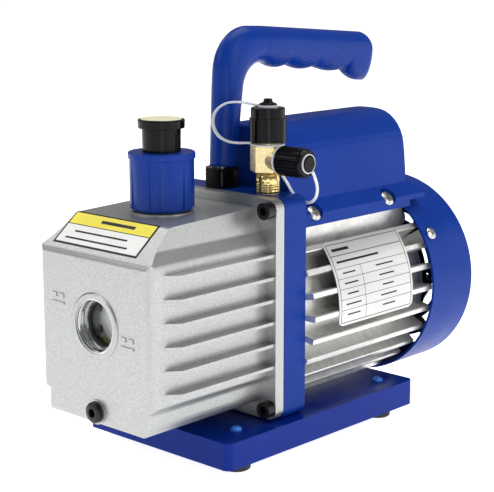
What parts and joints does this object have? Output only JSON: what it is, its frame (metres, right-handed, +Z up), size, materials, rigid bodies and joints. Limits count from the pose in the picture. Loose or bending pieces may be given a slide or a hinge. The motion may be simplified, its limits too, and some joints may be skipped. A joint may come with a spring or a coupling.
{
  "type": "rotary vane vacuum pump",
  "caption": "Rotary vane vacuum pump with a finned oil tank, sight glass, exhaust filter, capped intake ports, finned electric motor, top box and carry handle on a tray base.",
  "frame": {"origin": "under the middle of the whole pump, on the surface that it stands on", "axes": "+X towards the small side port, -Y towards the sight glass, +Z up"},
  "size_m": [0.1304, 0.2829, 0.2527],
  "materials": {
    "blue_paint": "satin",
    "silver_paint": "satin",
    "blue_plastic": "satin",
    "black_plastic": "gloss",
    "black_steel": "satin",
    "zinc_steel": "satin",
    "cast_aluminium": "matte",
    "brass": "satin",
    "rubber": "matte",
    "strap_plastic": "satin",
    "cream_plastic": "satin",
    "white_plastic": "matte",
    "filter_felt": "matte",
    "glass": "gloss",
    "pump_iron": "satin",
    "steel": "satin",
    "vane_fibre": "matte",
    "copper_enamel": "gloss",
    "red_plastic": "gloss",
    "gasket_sheet": "matte",
    "plate_silver": "satin"
  },
  "bodies": {
    "pump": {"base_plate": "blue_paint", "rubber_feet": "rubber", "foot_screws": "blue_paint", "foot_nuts": "zinc_steel", "base_bolts": "zinc_steel", "support_bracket": "blue_paint", "tank_gasket": "gasket_sheet", "oil_tank": "silver_paint", "tank_screws": "black_steel", "sight_glass_ring": "steel", "sight_glass_lens": "glass", "sight_glass_seal": "rubber", "sight_glass_plate": "plate_silver", "pump_cylinder": "pump_iron", "pump_end_plate": "pump_iron", "pump_screws": "black_steel", "exhaust_reed": "steel", "reed_stop": "zinc_steel", "shaft_seal": "rubber", "intake_fitting": "brass", "intake_screen": "steel", "top_strap": "strap_plastic", "side_strap": "strap_plastic", "handle": "blue_plastic", "handle_nut": "black_plastic", "handle_stud": "zinc_steel", "motor_housing": "cast_aluminium", "stator_core": "pump_iron", "stator_windings": "copper_enamel", "front_bearing": "steel", "rear_bearing": "steel", "rear_end_bell": "cast_aluminium", "end_bell_screws": "zinc_steel", "fan_cover": "blue_paint", "fan_cover_screws": "zinc_steel", "top_box": "blue_plastic", "box_screws": "zinc_steel", "run_capacitor": "white_plastic", "power_switch": "black_plastic", "power_inlet": "black_plastic", "nameplate": "plate_silver"},
    "shaft": {"motor_shaft": "steel", "motor_rotor": "steel", "fan": "black_plastic", "pump_rotor": "steel", "pump_vanes": "vane_fibre", "vane_springs": "steel", "rotor_key": "steel"},
    "filter_ring": {"filter_seal": "rubber"},
    "filter": {"exhaust_filter": "blue_plastic", "filter_element": "filter_felt"},
    "filter_cap": {"exhaust_cap": "black_plastic", "exhaust_cap_disc": "cream_plastic"},
    "drain_ring": {"drain_seal": "rubber"},
    "drain": {"drain_plug": "black_steel"},
    "top_ring": {"top_cap_ring": "strap_plastic"},
    "top_cap": {"top_cap": "black_plastic"},
    "side_ring": {"side_cap_ring": "strap_plastic"},
    "side_cap": {"side_cap": "black_plastic"},
    "rocker": {"switch_rocker": "red_plastic"}
  },
  "joints": [
    {"name": "shaft_spin", "type": "hinge", "parent": "pump", "child": "shaft", "pos_m": [0, 0, 0.0822], "axis": [0, 1, 0], "continuous": true},
    {"name": "filter_lift", "type": "slide", "parent": "pump", "child": "filter_ring", "axis": [0, 0, 1], "range_m": [0, 0.009]},
    {"name": "filter_turn", "type": "hinge", "parent": "filter_ring", "child": "filter", "pos_m": [0, -0.08435, 0.15], "axis": [0, 0, 1], "range_deg": [0, 2164.32]},
    {"name": "drain_lift", "type": "slide", "parent": "pump", "child": "drain_ring", "axis": [0, -1, 0], "range_m": [0, 0.0075]},
    {"name": "drain_turn", "type": "hinge", "parent": "drain_ring", "child": "drain", "pos_m": [0, -0.1375, 0.0404], "axis": [0, -1, 0], "range_deg": [0, 2164.32]},
    {"name": "top_cap_lift", "type": "slide", "parent": "pump", "child": "top_ring", "axis": [0, 0, 1], "range_m": [0, 0.00705], "deforming": ["top_strap"]},
    {"name": "top_cap_turn", "type": "hinge", "parent": "top_ring", "child": "top_cap", "pos_m": [0.0315, -0.0281, 0.19], "axis": [0, 0, 1], "range_deg": [0, 1803.6]},
    {"name": "side_cap_lift", "type": "slide", "parent": "pump", "child": "side_ring", "axis": [1, 0, 0], "range_m": [0, 0.00635], "deforming": ["side_strap"]},
    {"name": "side_cap_turn", "type": "hinge", "parent": "side_ring", "child": "side_cap", "pos_m": [0.04, -0.0281, 0.177], "axis": [1, 0, 0], "range_deg": [0, 1803.6]},
    {"name": "filter_cap_pull", "type": "slide", "parent": "filter", "child": "filter_cap", "axis": [0, 0, 1], "range_m": [0, 0.02]},
    {"name": "switch_rock", "type": "hinge", "parent": "pump", "child": "rocker", "pos_m": [0.021, 0.099, 0.171], "axis": [1, 0, 0], "range_deg": [0, 16]}
  ],
  "couplings": [
    {"joint": "filter_turn", "follows": "filter_lift", "rad_per_m": 4188.8},
    {"joint": "drain_turn", "follows": "drain_lift", "rad_per_m": 5026.5},
    {"joint": "top_cap_turn", "follows": "top_cap_lift", "rad_per_m": 4453},
    {"joint": "side_cap_turn", "follows": "side_cap_lift", "rad_per_m": 4947.4}
  ]
}
